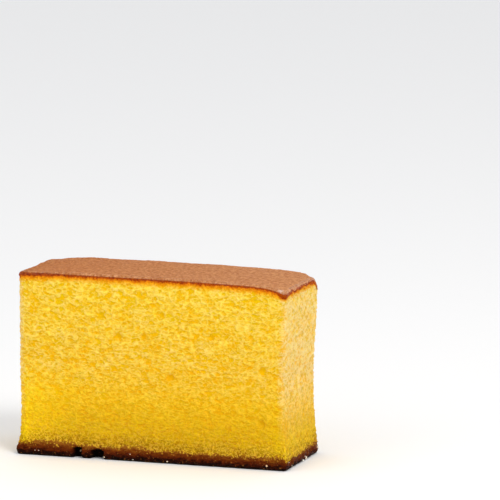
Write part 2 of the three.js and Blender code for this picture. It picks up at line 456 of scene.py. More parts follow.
def openness(tree, place):
    """How open the crumb is: 0 on the walls that the knife left standing, 1 inside the air cells."""
    space = crumb_space(tree, place)
    wall = add(
        tree, "ShaderNodeTexVoronoi", {"Vector": space, "Scale": 1 / CELLS}, feature="DISTANCE_TO_EDGE"
    )
    wall = add(
        tree,
        "ShaderNodeMapRange",
        {"Value": wall, "From Max": WALL_WIDTH, "To Min": 1.0, "To Max": 0.0},
        interpolation_type="SMOOTHSTEP",
    )
    fold = ridges(tree, space, size=FOLDS, detail=1.5, width=(0.0, FOLD_WIDTH))
    patches = swell(tree, space, size=PATCHES, detail=2.0, roughness=0.5, strength=PATCHY)
    flecks = swell(tree, space, size=FLECKS, detail=3.0, roughness=0.65, strength=FLECKED)
    total = add(tree, "ShaderNodeMath", {0: patches, 1: flecks}, operation="ADD")
    total = add(tree, "ShaderNodeMath", {0: round_holes(tree, space), 1: total}, operation="ADD")
    total = add(tree, "ShaderNodeMath", {0: wall, 1: WALLS, 2: total}, operation="MULTIPLY_ADD")
    total = add(tree, "ShaderNodeMath", {0: fold, 1: FOLDED, 2: total}, operation="MULTIPLY_ADD")
    opened = add(tree, "ShaderNodeMapRange", {"Value": total, "From Min": CLOSED, "From Max": OPEN})
    return add(tree, "ShaderNodeMath", {0: opened, 1: hollows(tree, place, space)}, operation="MAXIMUM")


def below_skin(tree, place):
    """How far below the top a place is, by the ragged line where the skin ends."""
    height = add(tree, "ShaderNodeSeparateXYZ", {0: place}, out=2)
    depth = add(tree, "ShaderNodeMath", {0: TOP, 1: height}, operation="SUBTRACT")
    ragged = swell(tree, place, size=RAGS, detail=4.0, roughness=0.65, strength=1.5)
    depth = add(tree, "ShaderNodeMath", {0: ragged, 1: depth}, operation="ADD")
    frayed = swell(tree, place, size=0.8, detail=3.0, roughness=0.6, strength=1.4)
    depth = add(tree, "ShaderNodeMath", {0: depth, 1: frayed}, operation="ADD")
    lumps = swell(tree, along_ends(tree, place), size=1.2, detail=3.0, roughness=0.6, strength=4.5)
    lumps = add(tree, "ShaderNodeMath", {0: lumps, 1: 0.5}, operation="SUBTRACT")
    depth = add(
        tree, "ShaderNodeMath", {0: lumps, 1: at_ends(tree, place), 2: depth}, operation="MULTIPLY_ADD"
    )
    for at, drop, reach in FLAPS:
        flap = add(tree, "ShaderNodeVectorMath", {0: place, 1: at}, operation="DISTANCE", out="Value")
        flap = add(
            tree, "ShaderNodeMapRange", {"Value": flap, "From Max": reach, "To Min": drop, "To Max": 0.0}
        )
        depth = add(tree, "ShaderNodeMath", {0: depth, 1: flap}, operation="SUBTRACT")
    return depth


def above_crust(tree, place):
    """How far above the foot a place is, by the torn line where the base crust ends."""
    height = add(tree, "ShaderNodeSeparateXYZ", {0: place}, out=2)
    ragged = swell(tree, place, size=RAGS, detail=4.0, roughness=0.65, strength=2.2)
    height = add(tree, "ShaderNodeMath", {0: ragged, 1: height}, operation="ADD")
    slow = swell(tree, place, size=100 / 9, detail=1.0, roughness=0.5, strength=3.0)
    height = add(tree, "ShaderNodeMath", {0: slow, 1: height}, operation="ADD")
    torn = swell(tree, place, size=0.6, detail=4.0, roughness=0.75, strength=3.0)
    height = add(tree, "ShaderNodeMath", {0: torn, 1: height}, operation="ADD")
    height = add(
        tree, "ShaderNodeMath", {0: fibres(tree, place), 1: 0.6, 2: height}, operation="MULTIPLY_ADD"
    )

    # Thicker towards the back, and thinner at the ends.
    across = add(tree, "ShaderNodeSeparateXYZ", {0: place}, out=1)
    thicker = add(
        tree,
        "ShaderNodeMapRange",
        {"Value": across, "From Min": -BROAD, "From Max": BROAD, "To Min": 0.7, "To Max": 1.3},
    )
    height = add(tree, "ShaderNodeMath", {0: height, 1: thicker}, operation="SUBTRACT")
    return add(
        tree, "ShaderNodeMath", {0: at_ends(tree, place), 1: 1.2, 2: height}, operation="MULTIPLY_ADD"
    )


# ---- Relief ---------------------------------------------------------------------------


def crumb_relief(tree, place):
    """Cut crumb: shallow cells between the walls that the knife left standing."""
    cells = add(
        tree,
        "ShaderNodeMath",
        {0: openness(tree, place), 1: -CELL_DEPTH, 2: CELL_DEPTH / 2},
        operation="MULTIPLY_ADD",
    )
    rough = swell(tree, place, size=1.2, detail=3.0, roughness=0.6, strength=0.3)
    return add(tree, "ShaderNodeMath", {0: cells, 1: rough}, operation="ADD")


def skin_relief(tree, place):
    """Top skin: slow waves, puckers, and a lip of uneven beads that stands proud of the cut."""
    height = add(tree, "ShaderNodeSeparateXYZ", {0: place}, out=2)
    depth = add(tree, "ShaderNodeMath", {0: TOP, 1: height}, operation="SUBTRACT")
    at_edge = add(
        tree,
        "ShaderNodeMapRange",
        {"Value": depth, "From Min": 0.02, "From Max": 0.3, "To Min": 0.1, "To Max": 1.0},
    )
    beads = swell(tree, along_ends(tree, place), size=1.4, detail=4.0, roughness=0.65, strength=1.8)
    relief = add(tree, "ShaderNodeMath", {0: beads, 1: at_edge, 2: LIP}, operation="MULTIPLY_ADD")
    waves = swell(tree, place, size=100 / 7, detail=2.0, roughness=0.5, strength=0.5)
    relief = add(tree, "ShaderNodeMath", {0: waves, 1: relief}, operation="ADD")
    puckers = swell(tree, place, size=1.25, detail=3.0, roughness=0.6, strength=0.3)
    return add(tree, "ShaderNodeMath", {0: puckers, 1: relief}, operation="ADD")


def crust_relief(tree, place):
    """Base crust: sticky crags, pressed level where they would stand out too far."""
    crags = swell(tree, place, size=5 / 3, detail=4.0, roughness=0.7, strength=2.4)
    crags = add(tree, "ShaderNodeMath", {0: crags, 1: CRAG_RISE}, operation="ADD")
    return add(tree, "ShaderNodeMath", {0: crags, 1: CRAG_CEILING}, operation="MINIMUM")


def bitten_in(tree, block, height):
    """1 where the foot is bitten in deep, where near-black shade is painted into the crust, and 0
    elsewhere.
    """
    now = add(tree, "GeometryNodeInputPosition")
    moved = add(tree, "ShaderNodeVectorMath", {0: now, 1: block}, operation="SUBTRACT")
    inwards = add(tree, "ShaderNodeSeparateXYZ", {0: moved}, out=1)
    bite_shade = add(tree, "ShaderNodeMapRange", {"Value": inwards, "From Min": 0.9 * MM, "From Max": 1.6 * MM})
    low = add(tree, "ShaderNodeMath", {0: height, 1: 6.0}, operation="LESS_THAN")
    return add(tree, "ShaderNodeMath", {0: bite_shade, 1: low}, operation="MULTIPLY")


def relief_nodes():
    """Roughens the block, and keeps where it is skin and crust, and where shade is painted in the deep
    bites.
    """
    tree = bpy.data.node_groups.new("castella_relief", "GeometryNodeTree")
    tree.interface.new_socket("Geometry", in_out="INPUT", socket_type="NodeSocketGeometry")
    tree.interface.new_socket("Geometry", in_out="OUTPUT", socket_type="NodeSocketGeometry")
    geometry = add(tree, "NodeGroupInput")
    block = add(tree, "GeometryNodeInputNamedAttribute", {"Name": "block"}, data_type="FLOAT_VECTOR")
    place = add(tree, "ShaderNodeVectorMath", {0: block, 1: (1 / MM,) * 3}, operation="MULTIPLY")
    height = add(tree, "ShaderNodeSeparateXYZ", {0: place}, out=2)
    skin = add(
        tree,
        "ShaderNodeMapRange",
        {"Value": below_skin(tree, place), "From Min": SKIN_FORM[0], "From Max": SKIN_FORM[1]},
        interpolation_type="SMOOTHSTEP",
    )
    crust = add(
        tree,
        "ShaderNodeMapRange",
        {"Value": above_crust(tree, place), "From Min": CRUST_FORM[0], "From Max": CRUST_FORM[1]},
        interpolation_type="SMOOTHSTEP",
    )
    relief = add(
        tree,
        "ShaderNodeMix",
        {0: skin, 2: crumb_relief(tree, place), 3: skin_relief(tree, place)},
        data_type="FLOAT",
    )
    relief = add(
        tree, "ShaderNodeMix", {0: crust, 2: relief, 3: crust_relief(tree, place)}, data_type="FLOAT"
    )
    grounded = add(
        tree, "ShaderNodeMapRange", {"Value": height, "From Min": 0.1, "From Max": 0.9, "To Max": MM}
    )
    relief = add(tree, "ShaderNodeMath", {0: relief, 1: grounded}, operation="MULTIPLY")
    bite_shade = bitten_in(tree, block, height)
    for name, value in (("skin", skin), ("crust", crust), ("bite_shade", bite_shade)):
        geometry = add(
            tree,
            "GeometryNodeStoreNamedAttribute",
            {"Geometry": geometry, "Name": name, "Value": value},
            data_type="FLOAT",
            domain="POINT",
        )
    normal = add(tree, "GeometryNodeInputNormal")
    offset = add(tree, "ShaderNodeVectorMath", {0: normal, "Scale": relief}, operation="SCALE")
    geometry = add(tree, "GeometryNodeSetPosition", {"Geometry": geometry, "Offset": offset})
    tree.links.new(geometry, tree.nodes.new("NodeGroupOutput").inputs[0])
    return tree


def roughen(cake):
    modifier = cake.modifiers.new("relief", "NODES")
    modifier.node_group = relief_nodes()
    apply_modifiers(cake)
    bpy.ops.object.select_all(action="DESELECT")
    cake.select_set(True)
    bpy.ops.object.shade_smooth()


# ---- Sugar and crumbs -----------------------------------------------------------------


def model_crystal():
    """One crystal of coarse sugar: a chipped block, 1 across."""
    bpy.ops.object.select_all(action="DESELECT")
    bpy.ops.mesh.primitive_cube_add(size=1)
    bpy.ops.object.mode_set(mode="EDIT")
    bpy.ops.mesh.select_all(action="SELECT")
    bpy.ops.mesh.bevel(offset=0.16, segments=1, affect="EDGES")
    bpy.ops.transform.vertex_random(offset=0.07, seed=SEED)
    bpy.ops.object.mode_set(mode="OBJECT")
    return bpy.context.object


def model_crumb():
    """One crumb: a small torn lump, 1 across."""
    bpy.ops.object.select_all(action="DESELECT")
    bpy.ops.mesh.primitive_ico_sphere_add(subdivisions=2, radius=0.5)
    bpy.ops.object.mode_set(mode="EDIT")
    bpy.ops.mesh.select_all(action="SELECT")
    bpy.ops.transform.vertex_random(offset=0.16, seed=SEED)
    bpy.ops.object.mode_set(mode="OBJECT")
    return bpy.context.object


def seat(cake, side, along, up):
    """The place on a side of the slice, at a distance along it and a height."""
    starts = {
        "front": (along, -1, up),
        "right": (1, along, up),
        "back": (-along, 1, up),
        "left": (-1, -along, up),
    }
    start = Vector(starts[side])
    way = Vector((0, -start.y, 0)) if abs(start.y) == 1 else Vector((-start.x, 0, 0))
    return cake.ray_cast(start, way)[1]


def keep_inside(place, room):
    """The nearest place that leaves some room to the faces of the solid's box."""
    low, high = CAD_BOX
    return [min(max(at, low[axis] + room), high[axis] - room) for axis, at in enumerate(place)]


def scatter(model, name, lots, thinnest):
    """Sets turned copies of a model at (place, size) lots and joins them into one piece."""
    copies = []
    for place, size in lots:
        copy = model.copy()
        copy.data = model.data.copy()
        bpy.context.scene.collection.objects.link(copy)
        copy.location = keep_inside(place, 0.75 * size)
        copy.rotation_euler = [chance.uniform(0, math.tau) for _ in range(3)]
        copy.scale = [size * chance.uniform(thinnest, 1.0) for _ in range(3)]
        copies.append(copy)
    bpy.data.objects.remove(model)
    bpy.ops.object.select_all(action="DESELECT")
    for copy in copies:
        copy.select_set(True)
    bpy.context.view_layer.objects.active = copies[0]
    bpy.ops.object.join()
    bpy.ops.object.transform_apply(location=True, rotation=True, scale=True)
    piece = bpy.context.object
    piece.name = piece.data.name = name
    return piece


def around_rim(cake, count, lowest, highest, smallest, largest):
    """Lots spread by chance round the foot of the slice, smaller ones more often."""
    sides = (("front", HALF.x), ("right", HALF.y), ("back", HALF.x), ("left", HALF.y))
    lots = []
    for side, half in sides:
        for _ in range(round(count * half / (2 * (HALF.x + HALF.y)))):
            reach = half - CORNER_ROOM
            place = seat(cake, side, chance.uniform(-reach, reach), chance.uniform(lowest, highest))
            lots.append((place, smallest + (largest - smallest) * chance.random() ** 2))
    return lots


def coarse_sugar(cake):
    """Sugar crystals from the bottom of the tin, held in the sticky crust."""
    lots = [(seat(cake, side, along, up), size) for side, along, up, size in LARGE_CRYSTALS]
    lots += around_rim(cake, *SMALL_CRYSTALS)
    return scatter(model_crystal(), "coarse_sugar", lots, thinnest=0.7)


def loose_crumbs(cake):
    """Torn crumbs that cling to the crust, most of them where it meets the cut crumb."""
    lots = around_rim(cake, *CRUST_CRUMBS) + around_rim(cake, *BORDER_CRUMBS)
    return scatter(model_crumb(), "loose_crumbs", lots, thinnest=0.4)


# ---- Colours of the slice -------------------------------------------------------------

# Where a glow of light is painted on the foot's crumb, as (full from x, none from x, none from z,
# change on the end, tint), in millimetres.
FOOT_GLOWS = (
    (-44.0, -22.0, 32.0, -0.7, (1.36, 1.48, 1.3)),
    (42.0, 33.0, 13.0, 0.0, (1.15, 1.21, 1.1)),
)
GLOW_FULL = 4.0  # the height below which they are full
LEMON = (1.04, 1.08, 0.3)  # the tint where light comes through the thin upright corners
LEMON_CORNER = (5.5, 1.5)  # how far in from an end that starts, and is full

# Painted light: a pale haze of light painted over the upper ends: over these heights, in to these
# distances from an end, and more on the walls than in the cells.
HAZE_HEIGHTS = (5.0, 33.0)
HAZE_CORNER = (2.3, 0.2)
HAZE_WALLS, HAZE_CELLS = 0.54, 0.1

# The cells are golden and their walls pale, the cells' deeper gold partly painted shade in the
# hollows; both darker and browner towards the foot, partly the crumb's own browning there and
# partly painted shade, as (height, colour), where 1 is the whole height.
CELL_COLOURS = (
    (0.06, "#966700"),
    (0.09, "#a87d00"),
    (0.14, "#c79902"),
    (0.22, "#d8a704"),
    (0.33, "#e4b002"),
    (0.5, "#eab500"),
    (0.9, "#eabb00"),
)
WALL_COLOURS = (
    (0.06, "#be930c"),
    (0.09, "#ca9f0c"),
    (0.14, "#d9af08"),
    (0.22, "#e5b914"),
    (0.33, "#f3c72e"),
    (0.5, "#fed557"),
    (0.9, "#ffda5b"),
)


def wall_colour(tree, place, share):
    """Pale yellow, here richer and there paler."""
    wall = add(tree, "ShaderNodeValToRGB", {"Fac": share}, stops=WALL_COLOURS)
    pale = swell(tree, place, size=4.0, detail=2.0, roughness=0.5, strength=2.2)
    pale = add(tree, "ShaderNodeMath", {0: pale, 1: 1.0}, operation="ADD")
    pale = add(tree, "ShaderNodeCombineXYZ", {0: 1.0, 1: 1.0, 2: pale})
    return add(tree, "ShaderNodeVectorMath", {0: wall, 1: pale}, operation="MULTIPLY")


def cell_colour(tree, place, share):
    """Golden, partly painted shade in the hollows, with the yolk's uneven warmth."""
    cell = add(tree, "ShaderNodeValToRGB", {"Fac": share}, stops=CELL_COLOURS)
    warm = swell(tree, place, size=4.0, detail=2.0, roughness=0.5, strength=1.0)
    warm = add(tree, "ShaderNodeMapRange", {"Value": warm, "From Min": -0.15, "From Max": 0.15})
    yolk = add(
        tree, "ShaderNodeMix", {0: warm, 6: srgb("#fff2f6"), 7: srgb("#faffe8")}, out=2, data_type="RGBA"
    )
    return add(
        tree, "ShaderNodeMix", {0: 1.0, 6: cell, 7: yolk}, out=2, data_type="RGBA", blend_type="MULTIPLY"
    )


def grain(tree, place, over_crust):
    """How bright each fine speck, thread and pit of crumb is, less even at the foot and the top."""
    height = add(tree, "ShaderNodeSeparateXYZ", {0: place}, out=2)
    upper = add(
        tree,
        "ShaderNodeMapRange",
        {"Value": height, "From Min": 15.0, "From Max": 40.0, "To Min": 0.35, "To Max": 0.65},
    )
    coarse = add(
        tree,
        "ShaderNodeMapRange",
        {"Value": over_crust, "From Min": 4.0, "From Max": 9.0, "To Min": 0.7, "To Max": upper},
    )
    fibrous = add(
        tree,
        "ShaderNodeMapRange",
        {"Value": over_crust, "From Min": 4.0, "From Max": 8.0, "To Min": 0.35, "To Max": 0.0},
    )
    fibre = add(tree, "ShaderNodeMath", {0: fibres(tree, place), 1: 0.5}, operation="SUBTRACT")
    fibre = add(tree, "ShaderNodeMath", {0: fibre, 1: fibrous}, operation="MULTIPLY")
    speck = swell(tree, place, size=0.5, detail=3.0, roughness=0.7, strength=1.0)
    bright = add(tree, "ShaderNodeMath", {0: speck, 1: coarse, 2: 1.1}, operation="MULTIPLY_ADD")
    bright = add(tree, "ShaderNodeMath", {0: bright, 1: fibre}, operation="ADD")
    pits = swell(tree, place, size=1.2, detail=2.0, roughness=0.6, strength=0.8)
    return add(
        tree, "ShaderNodeMath", {0: pits, 1: at_ends(tree, place), 2: bright}, operation="MULTIPLY_ADD"
    )


def lemon_corners(tree, place, ends, upper, colour):
    """Lets the thin upright corners glow at their foot, on the broad faces."""
    apart = add(tree, "ShaderNodeSeparateXYZ", {0: place})
    apart = add(tree, "ShaderNodeMath", {0: apart}, operation="ABSOLUTE")
    corner = add(
        tree,
        "ShaderNodeMapRange",
        {"Value": apart, "From Min": END - LEMON_CORNER[0], "From Max": END - LEMON_CORNER[1]},
    )
    for elsewhere in (ends, upper):
        here = add(tree, "ShaderNodeMath", {0: 1.0, 1: elsewhere}, operation="SUBTRACT")
        corner = add(tree, "ShaderNodeMath", {0: corner, 1: here}, operation="MULTIPLY")
    lemon = add(tree, "ShaderNodeVectorMath", {0: colour, 1: LEMON}, operation="MULTIPLY")
    return add(tree, "ShaderNodeMix", {0: corner, 6: colour, 7: lemon}, out=2, data_type="RGBA")


def foot_glows(tree, place, ends, colour):
    """Paints a glow of light on the foot towards the two ends."""
    along = add(tree, "ShaderNodeSeparateXYZ", {0: place})
    height = add(tree, "ShaderNodeSeparateXYZ", {0: place}, out=2)
    for near, far, top, on_end, glow in FOOT_GLOWS:
        lit = add(
            tree,
            "ShaderNodeMapRange",
            {"Value": along, "From Min": near, "From Max": far, "To Min": 1.0, "To Max": 0.0},
        )
        foot = add(
            tree,
            "ShaderNodeMapRange",
            {"Value": height, "From Min": GLOW_FULL, "From Max": top, "To Min": 1.0, "To Max": 0.0},
        )
        lit = add(tree, "ShaderNodeMath", {0: lit, 1: foot}, operation="MULTIPLY")
        spread = add(tree, "ShaderNodeMath", {0: ends, 1: on_end, 2: 1.0}, operation="MULTIPLY_ADD")
        lit = add(tree, "ShaderNodeMath", {0: lit, 1: spread}, operation="MULTIPLY")
        bright = add(tree, "ShaderNodeVectorMath", {0: colour, 1: glow}, operation="MULTIPLY")
        colour = add(tree, "ShaderNodeMix", {0: lit, 6: colour, 7: bright}, out=2, data_type="RGBA")
    return colour


def paint_end_light(tree, place, opened, colour):
    """Paints a pale haze of light over the upper part of the two ends, and makes the foot of the slice
    glow beside them.
    """
    apart = add(tree, "ShaderNodeSeparateXYZ", {0: place})
    apart = add(tree, "ShaderNodeMath", {0: apart}, operation="ABSOLUTE")
    strayed = swell(tree, place, size=2.0, detail=3.0, roughness=0.6, strength=3.4)
    strayed = add(tree, "ShaderNodeMath", {0: strayed, 1: apart}, operation="ADD")
    ends = add(
        tree,
        "ShaderNodeMapRange",
        {"Value": strayed, "From Min": END - HAZE_CORNER[0], "From Max": END - HAZE_CORNER[1]},
    )
    ends = add(tree, "ShaderNodeMath", {0: ends, 1: at_ends(tree, place)}, operation="MAXIMUM")
    height = add(tree, "ShaderNodeSeparateXYZ", {0: place}, out=2)
    upper = add(
        tree,
        "ShaderNodeMapRange",
        {"Value": height, "From Min": HAZE_HEIGHTS[0], "From Max": HAZE_HEIGHTS[1]},
        interpolation_type="SMOOTHSTEP",
    )
    colour = lemon_corners(tree, place, ends, upper, colour)
    colour = foot_glows(tree, place, ends, colour)
    haze_share = add(
        tree,
        "ShaderNodeMath",
        {0: opened, 1: HAZE_CELLS - HAZE_WALLS, 2: HAZE_WALLS},
        operation="MULTIPLY_ADD",
    )
    # the painted haze of light, stronger on the walls than in the cells
    painted_haze = add(tree, "ShaderNodeMath", {0: ends, 1: upper}, operation="MULTIPLY")
    painted_haze = add(tree, "ShaderNodeMath", {0: painted_haze, 1: haze_share}, operation="MULTIPLY")
    return add(tree, "ShaderNodeMix", {0: painted_haze, 6: colour, 7: srgb("#fbdfb4")}, out=2, data_type="RGBA")


def crumb_colour(tree, place):
    """Egg yellow: pale on the cell walls, golden inside, partly painted shade, and browner by the crust
    and the skin, with painted shade darkening the foot too.
    """
    over_crust = above_crust(tree, place)
    share = add(tree, "ShaderNodeMath", {0: over_crust, 1: MM / HEIGHT}, operation="MULTIPLY")
    opened = openness(tree, place)
    colour = add(
        tree,
        "ShaderNodeMix",
        {0: opened, 6: wall_colour(tree, place, share), 7: cell_colour(tree, place, share)},
        out=2,
        data_type="RGBA",
    )
    colour = add(
        tree,
        "ShaderNodeVectorMath",
        {0: colour, "Scale": grain(tree, place, over_crust)},
        operation="SCALE",
    )

    # The foot is fuzzy with pale threads.
    fuzz = add(
        tree,
        "ShaderNodeMapRange",
        {"Value": over_crust, "From Min": 5.0, "From Max": 18.0, "To Min": 0.42, "To Max": 0.0},
    )
    fuzz = add(tree, "ShaderNodeMath", {0: fibres(tree, place), 1: fuzz}, operation="MULTIPLY")
    colour = add(tree, "ShaderNodeMix", {0: fuzz, 6: colour, 7: srgb("#e4bb42")}, out=2, data_type="RGBA")
    colour = paint_end_light(tree, place, opened, colour)
    near_skin = add(tree, "ShaderNodeMath", {0: below_skin(tree, place), 1: 0.2}, operation="MULTIPLY")
    browned = add(
        tree,
        "ShaderNodeValToRGB",
        {"Fac": near_skin},
        stops=((0.24, "#c0600a"), (0.3, "#e49a38"), (0.42, "#f6cc50"), (0.66, "#ffffff")),
    )
    return add(
        tree,
        "ShaderNodeMix",
        {0: 1.0, 6: colour, 7: browned},
        out=2,
        data_type="RGBA",
        blend_type="MULTIPLY",
    )


def lengthways(tree, place):
    """How far along the slice a place is: 0 at the left end, 1 at the right."""
    along = add(tree, "ShaderNodeSeparateXYZ", {0: place})
    return add(tree, "ShaderNodeMapRange", {"Value": along, "From Min": -END, "From Max": END})


def skin_colour(tree, place):
    """Milk chocolate on top, dark red-brown where the knife cuts through the skin."""
    height = add(tree, "ShaderNodeSeparateXYZ", {0: place}, out=2)
    depth = add(tree, "ShaderNodeMath", {0: TOP, 1: height}, operation="SUBTRACT")
    along = lengthways(tree, place)
    drawn = add(tree, "ShaderNodeVectorMath", {0: place, 1: (1.0, 0.6, 1.0)}, operation="MULTIPLY")
    mottle = swell(tree, drawn, size=1.0, detail=5.0, roughness=0.75, strength=1.0)
    mottle = add(tree, "ShaderNodeMapRange", {"Value": mottle, "From Min": -0.15, "From Max": 0.15})
    # Painted light: the top is paler towards the right end, where more light falls on it.
    dark = add(
        tree, "ShaderNodeMix", {0: along, 6: srgb("#b65c20"), 7: srgb("#c27038")}, out=2, data_type="RGBA"
    )
    light = add(
        tree, "ShaderNodeMix", {0: along, 6: srgb("#e49854"), 7: srgb("#eeab72")}, out=2, data_type="RGBA"
    )
    top = add(tree, "ShaderNodeMix", {0: mottle, 6: dark, 7: light}, out=2, data_type="RGBA")

    # Painted highlights: pale glinting spots along the moist edge, and more of them on the front-right
    # corner.
    glint_spots = swell(tree, place, size=1.1, detail=2.0, roughness=0.6, strength=1.0)
    glint_spots = add(tree, "ShaderNodeMapRange", {"Value": glint_spots, "From Max": 0.16, "To Max": 0.7})
    rim = add(tree, "ShaderNodeMapRange", {"Value": depth, "From Max": 0.2})
    glint = add(tree, "ShaderNodeVectorMath", {0: place, 1: GLINT_CORNER}, operation="DISTANCE", out="Value")
    glint = add(
        tree,
        "ShaderNodeMapRange",
        {"Value": glint, "From Min": 0.6, "From Max": 2.6, "To Min": 1.0, "To Max": 0.0},
    )
    for where, code in ((rim, "#ffba84"), (glint, "#ffe6da")):
        glinting = add(tree, "ShaderNodeMath", {0: where, 1: glint_spots}, operation="MULTIPLY")
        top = add(tree, "ShaderNodeMix", {0: glinting, 6: top, 7: srgb(code)}, out=2, data_type="RGBA")

    # The cut edge shows earlier at the left, and in lumps along the two ends.
    cut = add(
        tree,
        "ShaderNodeMix",
        {0: mottle, 6: srgb("#7a1800"), 7: srgb("#ce5e00")},
        out=2,
        data_type="RGBA",
    )
    lumpy = swell(tree, along_ends(tree, place), size=1.1, detail=3.0, roughness=0.6, strength=4.0)
    lumpy = add(tree, "ShaderNodeMath", {0: lumpy, 1: 0.1}, operation="SUBTRACT")
    shown = add(
        tree, "ShaderNodeMath", {0: lumpy, 1: at_ends(tree, place), 2: depth}, operation="MULTIPLY_ADD"
    )
    early = add(
        tree, "ShaderNodeMapRange", {"Value": along, "From Max": 0.2, "To Min": 0.5, "To Max": 0.0}
    )
    shown = add(tree, "ShaderNodeMath", {0: shown, 1: early}, operation="ADD")
    side = add(tree, "ShaderNodeMapRange", {"Value": shown, "From Min": 0.5, "From Max": 0.8})
    return add(tree, "ShaderNodeMix", {0: side, 6: top, 7: cut}, out=2, data_type="RGBA")


def crust_colour(tree, place):
    """Near black at the foot, partly syrup and partly painted shade where it meets the floor, red-brown
    crags and tan crumbs above it.
    """
    height = add(tree, "ShaderNodeSeparateXYZ", {0: place}, out=2)
    layered = add(tree, "ShaderNodeVectorMath", {0: place, 1: (0.45, 0.45, 1.3)}, operation="MULTIPLY")
    layers = swell(tree, layered, size=1.1, detail=5.0, roughness=0.75, strength=6.0)
    soak_and_shade = add(tree, "ShaderNodeMath", {0: layers, 1: height}, operation="ADD")
    soak_and_shade = add(
        tree, "ShaderNodeMath", {0: lengthways(tree, place), 1: 0.5, 2: soak_and_shade}, operation="MULTIPLY_ADD"
    )
    soak_and_shade = add(tree, "ShaderNodeMath", {0: soak_and_shade, 1: 0.2}, operation="MULTIPLY")
    colour = add(
        tree,
        "ShaderNodeValToRGB",
        {"Fac": soak_and_shade},
        stops=(
            (0.2, "#140300"),
            (0.36, "#360d01"),
            (0.5, "#5c2003"),
            (0.72, "#723406"),
            (0.95, "#9c6018"),
        ),
    )
    crumbly = swell(tree, place, size=0.8, detail=3.0, roughness=0.6, strength=1.0)
    crumbly = add(
        tree, "ShaderNodeMapRange", {"Value": crumbly, "From Min": 0.11, "From Max": 0.17, "To Max": 0.5}
    )
    return add(
        tree, "ShaderNodeMix", {0: crumbly, 6: colour, 7: srgb("#b07030")}, out=2, data_type="RGBA"
    )


def castella_colours(tree, place):
    """The slice's colours: crumb, browned skin above and syrup-soaked crust below, with painted shade in
    the deep bites.
    """
    skin = add(
        tree,
        "ShaderNodeMapRange",
        {"Value": below_skin(tree, place), "From Min": SKIN_COLOUR[0], "From Max": SKIN_COLOUR[1]},
    )
    crust = add(
        tree,
        "ShaderNodeMapRange",
        {"Value": above_crust(tree, place), "From Min": CRUST_COLOUR[0], "From Max": CRUST_COLOUR[1]},
    )
    bite_shade = add(tree, "ShaderNodeAttribute", out="Fac", attribute_name="bite_shade")
    colour = crumb_colour(tree, place)
    for where, over in (
        (skin, skin_colour(tree, place)),
        (crust, crust_colour(tree, place)),
        # painted shade: near black in the deep bites at the foot
        (bite_shade, srgb("#0e0300")),
    ):
        colour = add(tree, "ShaderNodeMix", {0: where, 6: colour, 7: over}, out=2, data_type="RGBA")
    return colour


# ---- Finishes -------------------------------------------------------------------------


def new_material(name):
    material = bpy.data.materials.new(name)
    material.use_nodes = True
    material.node_tree.nodes.clear()
    return material


def finish_with(material, shader):
    output = material.node_tree.nodes.new("ShaderNodeOutputMaterial")
    material.node_tree.links.new(shader, output.inputs["Surface"])
    return material


def block_place(tree):
    """Each point's place in the straight block, in millimetres."""
    block = add(tree, "ShaderNodeAttribute", out="Vector", attribute_name="block")
    return add(tree, "ShaderNodeVectorMath", {0: block, 1: (1 / MM,) * 3}, operation="MULTIPLY")


def crumb_finish():
    """Cut sponge crumb: matte and soft, with light that goes a little way in."""
    material = new_material("cut_sponge_crumb")
    tree = material.node_tree
    place = block_place(tree)
    fine = swell(tree, place, size=0.6, detail=4.0, roughness=0.7, strength=0.3)
    surface = add(
        tree, "ShaderNodeMath", {0: openness(tree, place), 1: -0.25, 2: fine}, operation="MULTIPLY_ADD"
    )
    height = add(tree, "ShaderNodeSeparateXYZ", {0: place}, out=2)
    settled = add(
        tree,
        "ShaderNodeMapRange",
        {"Value": height, "From Min": 5.0, "From Max": 30.0, "To Min": 0.6, "To Max": 1.1},
    )
    surface = add(tree, "ShaderNodeMath", {0: surface, 1: settled}, operation="MULTIPLY")
    bump = add(tree, "ShaderNodeBump", {"Height": surface, "Strength": 1.0, "Distance": MM})
    shader = add(
        tree,
        "ShaderNodeBsdfPrincipled",
        {
            "Base Color": castella_colours(tree, place),
            "Roughness": 0.7,
            "IOR": 1.4,
            "Specular IOR Level": 0.1,
            "Normal": bump,
            "Subsurface Weight": 0.25,
            "Subsurface Radius": (1.0, 0.45, 0.08),
            "Subsurface Scale": 0.5 * MM,
        },
    )
    return finish_with(material, shader)


def skin_finish():
    """Browned top skin: a matte, finely pored sheet whose moist edge catches the light."""
    material = new_material("browned_top_skin")
    tree = material.node_tree
    place = block_place(tree)
    pores = swell(tree, along_ends(tree, place), size=2 / 3, detail=3.0, roughness=0.7, strength=1.0)
    bump = add(tree, "ShaderNodeBump", {"Height": pores, "Strength": 1.0, "Distance": 1.6 * MM})
    height = add(tree, "ShaderNodeSeparateXYZ", {0: place}, out=2)
    moist = add(
        tree,
        "ShaderNodeMapRange",
        {"Value": height, "From Min": TOP - 0.1, "From Max": TOP, "To Min": 0.22, "To Max": 0.85},
    )
    shader = add(
        tree,
        "ShaderNodeBsdfPrincipled",
        {
            "Base Color": castella_colours(tree, place),
            "Roughness": moist,
            "IOR": 1.4,
            "Specular IOR Level": 0.5,
            "Normal": bump,
        },
    )
    return finish_with(material, shader)


def crust_finish():
    """Baked crust: the base soaked with syrup, sticky and nearly black, partly painted shade at the foot,
    and the skin's cut edge.
    """
    material = new_material("baked_syrup_crust")
    tree = material.node_tree
    place = block_place(tree)
    crags = swell(tree, place, size=5 / 6, detail=5.0, roughness=0.75, strength=1.0)
    bump = add(tree, "ShaderNodeBump", {"Height": crags, "Strength": 0.9, "Distance": 0.8 * MM})
    shader = add(
        tree,
        "ShaderNodeBsdfPrincipled",
        {
            "Base Color": castella_colours(tree, place),
            "Roughness": 0.45,
            "IOR": 1.45,
            "Specular IOR Level": 0.05,
            "Normal": bump,
        },
    )
    return finish_with(material, shader)


